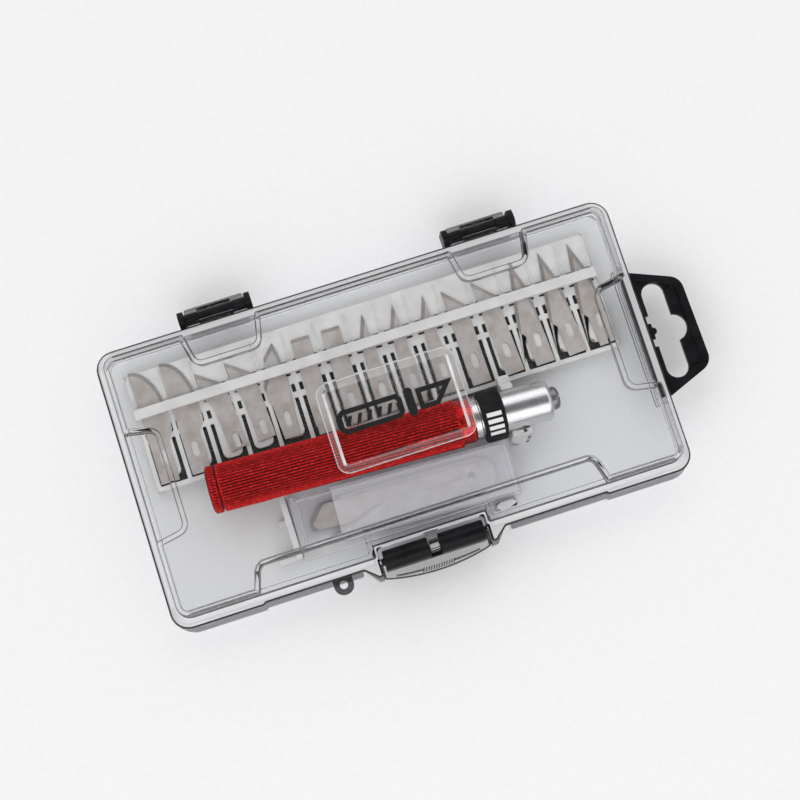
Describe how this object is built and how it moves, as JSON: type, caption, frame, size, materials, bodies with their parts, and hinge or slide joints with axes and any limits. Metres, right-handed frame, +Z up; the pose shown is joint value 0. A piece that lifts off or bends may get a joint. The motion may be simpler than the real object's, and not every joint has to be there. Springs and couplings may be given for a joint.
{
  "type": "craft knife kit",
  "caption": "Craft knife with a fluted metal handle and interchangeable blades in a rack, held in a clear hinged carrying case with a latch, hang tab and sliding spare blade box.",
  "frame": {"origin": "middle of the closed case in plan, on the underside of its base", "axes": "+X along the case towards the hang tab, +Y towards the hinges, +Z up through the lid"},
  "size_m": [0.1884, 0.1045, 0.0228],
  "materials": {
    "clear_case": "clear, glossy, lightly frosted floor",
    "black_plastic": "satin moulded",
    "white_plastic": "satin moulded",
    "magnet_sheet": "matte",
    "red_anodised": "anodised, fluted",
    "bright_metal": "bright turned",
    "black_rubber": "matte",
    "grey_steel": "turned",
    "frosted_box": "translucent",
    "blade_steel": "rolled, oiled"
  },
  "bodies": {
    "case": {"case_base": "clear_case", "hinge_clip_left": "black_plastic", "hinge_clip_right": "black_plastic", "hang_tab": "black_plastic", "blade_rack": "white_plastic", "magnet_strip": "magnet_sheet", "cradle": "white_plastic", "handle_body": "red_anodised", "box_tray": "frosted_box", "spare_blade_hooked": "blade_steel", "spare_blade_plain": "blade_steel", "spare_blade_pointed": "blade_steel", "blade_01_curved": "blade_steel", "blade_02_curved": "blade_steel", "blade_03_angled": "blade_steel", "blade_04_angled": "blade_steel", "blade_05_deburring": "blade_steel", "blade_06_chisel": "blade_steel", "blade_07_chisel": "blade_steel", "blade_08_fine": "blade_steel", "blade_09_fine": "blade_steel", "blade_10_fine": "blade_steel", "blade_11_stencil": "blade_steel", "blade_12_stencil": "blade_steel", "blade_13_long": "blade_steel", "blade_14_long": "blade_steel", "blade_15_long": "blade_steel"},
    "lid": {"case_lid": "clear_case"},
    "latch": {"latch": "black_plastic"},
    "chuck": {"chuck_nose": "bright_metal", "anti_roll_band": "black_rubber"},
    "collet": {"collet": "grey_steel"},
    "end_cap": {"end_cap": "red_anodised"},
    "box_cover": {"box_cover": "frosted_box"}
  },
  "joints": [
    {"name": "lid_hinge", "type": "hinge", "parent": "case", "child": "lid", "pos_m": [0, 0.0485, 0.012], "axis": [-1, 0, 0], "range_deg": [0, 110]},
    {"name": "latch_swing", "type": "hinge", "parent": "lid", "child": "latch", "pos_m": [-0.0007, -0.0445, 0.0136], "axis": [-1, 0, 0], "range_deg": [0, 90]},
    {"name": "chuck_spin", "type": "hinge", "parent": "case", "child": "chuck", "pos_m": [-0.063, -0.0063, 0.0112], "axis": [0.999, -0.0452, 0], "range_deg": [0, 720]},
    {"name": "collet_slide", "type": "slide", "parent": "chuck", "child": "collet", "axis": [0.999, -0.0452, 0], "range_m": [0, 0.002]},
    {"name": "end_cap_spin", "type": "hinge", "parent": "case", "child": "end_cap", "pos_m": [-0.063, -0.0063, 0.0112], "axis": [0.999, -0.0452, 0], "range_deg": [0, 1080]},
    {"name": "box_cover_slide", "type": "slide", "parent": "case", "child": "box_cover", "axis": [0.999, -0.0436, 0], "range_m": [0, 0.04]}
  ],
  "couplings": [
    {"joint": "collet_slide", "follows": "chuck_spin", "m_per_rad": 0.00015915}
  ]
}
